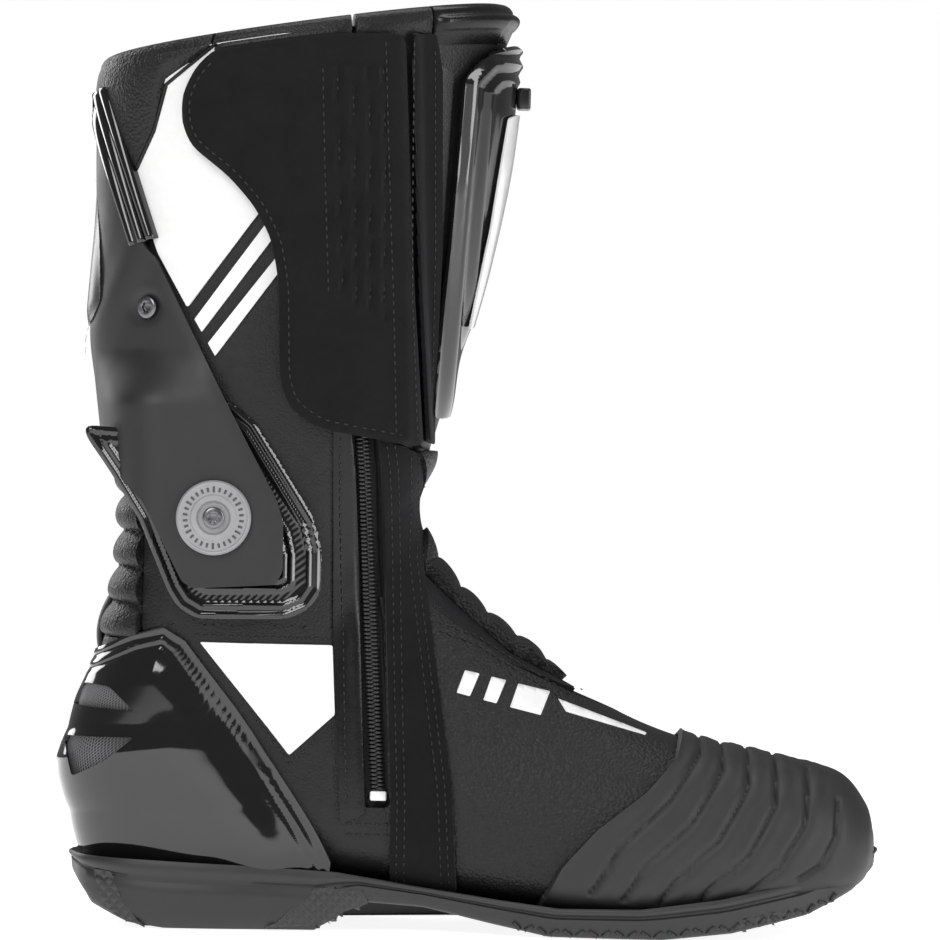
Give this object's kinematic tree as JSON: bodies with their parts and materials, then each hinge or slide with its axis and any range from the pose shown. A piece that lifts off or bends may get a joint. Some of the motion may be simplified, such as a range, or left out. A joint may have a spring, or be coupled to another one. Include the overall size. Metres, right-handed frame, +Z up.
{
  "type": "motorcycle sport boot",
  "caption": "Tall left riding boot with a hinged calf and ankle brace, side zip, hook-and-loop flap, shin plate, heel cup and rubber toe cap.",
  "frame": {"origin": "centre of the heel's flat contact face, on the ground", "axes": "+X towards the toe, +Y towards the outer (lateral) side, +Z up the shaft"},
  "size_m": [0.3056, 0.1198, 0.3431],
  "materials": {
    "rubber": "matte moulded black rubber",
    "grip_rubber": "dark grey textured rubber",
    "grain_leather": "pebbled black leather",
    "smooth_leather": "smooth black leather",
    "white_leather": "smooth white leather",
    "suede": "black suede",
    "lining": "padded textile lining",
    "board": "stiffener board",
    "gloss_black": "polished black moulding",
    "soft_black": "satin black moulding",
    "guard_grey": "matte grey moulding",
    "white_plastic": "white moulding",
    "steel": "dark steel screws and bushes",
    "pivot_grey": "satin silver-grey cap",
    "zip_metal": "blackened metal",
    "zip_tape": "black woven tape"
  },
  "bodies": {
    "foot": {"outsole": "rubber", "heel_grip_rear": "grip_rubber", "heel_grip_front": "grip_rubber", "forefoot_grip": "grip_rubber", "insole_board": "board", "footbed": "lining", "foot_upper": "grain_leather", "foot_lining": "lining", "toe_puff": "board", "heel_counter": "board", "toe_cap": "rubber", "toe_slider": "gloss_black", "toe_slider_screw_1": "steel", "toe_slider_screw_2": "steel", "heel_cup": "gloss_black", "heel_vent_screen_medial": "grip_rubber", "heel_vent_screen_lateral": "grip_rubber", "heel_patch_medial": "white_leather", "heel_patch_lateral": "white_leather", "heel_tab": "smooth_leather", "ankle_surround_medial": "soft_black", "ankle_surround_lateral": "soft_black", "pivot_bush_medial": "steel", "pivot_bush_lateral": "steel", "pivot_cap_medial": "pivot_grey", "pivot_cap_lateral": "pivot_grey", "pivot_screw_medial": "steel", "pivot_screw_lateral": "steel", "zip_stop": "white_plastic"},
    "shaft": {"shaft_upper": "smooth_leather", "shaft_lining": "lining", "collar_pad": "smooth_leather", "white_panel_medial": "white_leather", "white_panel_lateral": "white_leather", "calf_guard": "guard_grey", "guard_trim_medial": "gloss_black", "guard_trim_lateral": "gloss_black", "guard_screw_medial": "steel", "guard_screw_lateral": "steel", "calf_spine": "gloss_black", "shin_plate": "gloss_black", "shin_insert": "white_plastic", "shin_clip": "soft_black", "shin_screw_medial": "steel", "shin_screw_lateral": "steel", "flap_base": "suede", "loop_patch": "zip_tape", "ankle_side_medial": "smooth_leather", "ankle_side_lateral": "smooth_leather", "ankle_stretch_rear": "grain_leather", "ankle_stretch_front": "grain_leather", "ankle_lining": "lining", "suede_strip": "suede", "zip_placket": "smooth_leather", "zip_tape": "zip_tape", "zip_chain": "zip_tape"},
    "closure": {"closure_flap": "suede", "hook_patch": "zip_tape"},
    "zip_slider_body": {"zip_slider": "zip_metal"},
    "zip_pull_body": {"zip_pull": "zip_metal"}
  },
  "joints": [
    {"name": "ankle_flex", "type": "hinge", "parent": "foot", "child": "shaft", "pos_m": [-0.0173, 0, 0.1525], "axis": [0, 1, 0], "range_deg": [-8, 15], "stiffness_Nm_per_rad": 6, "deforming": ["ankle_side_medial", "ankle_side_lateral", "ankle_stretch_rear", "ankle_stretch_front", "ankle_lining", "suede_strip", "zip_placket", "zip_tape", "zip_chain"]},
    {"name": "flap_open", "type": "hinge", "parent": "shaft", "child": "closure", "pos_m": [0.0566, -0.031, 0.1771], "axis": [-0.0385, -0.1548, 0.9872], "range_deg": [0, 120]},
    {"name": "zip_slide", "type": "slide", "parent": "shaft", "child": "zip_slider_body", "axis": [0.0396, 0.0998, -0.9942], "range_m": [0, 0.1]},
    {"name": "zip_pull_swing", "type": "hinge", "parent": "zip_slider_body", "child": "zip_pull_body", "pos_m": [0.0321, -0.055, 0.3138], "axis": [-0.1559, 0.9834, 0.0925], "range_deg": [-10, 10]}
  ]
}
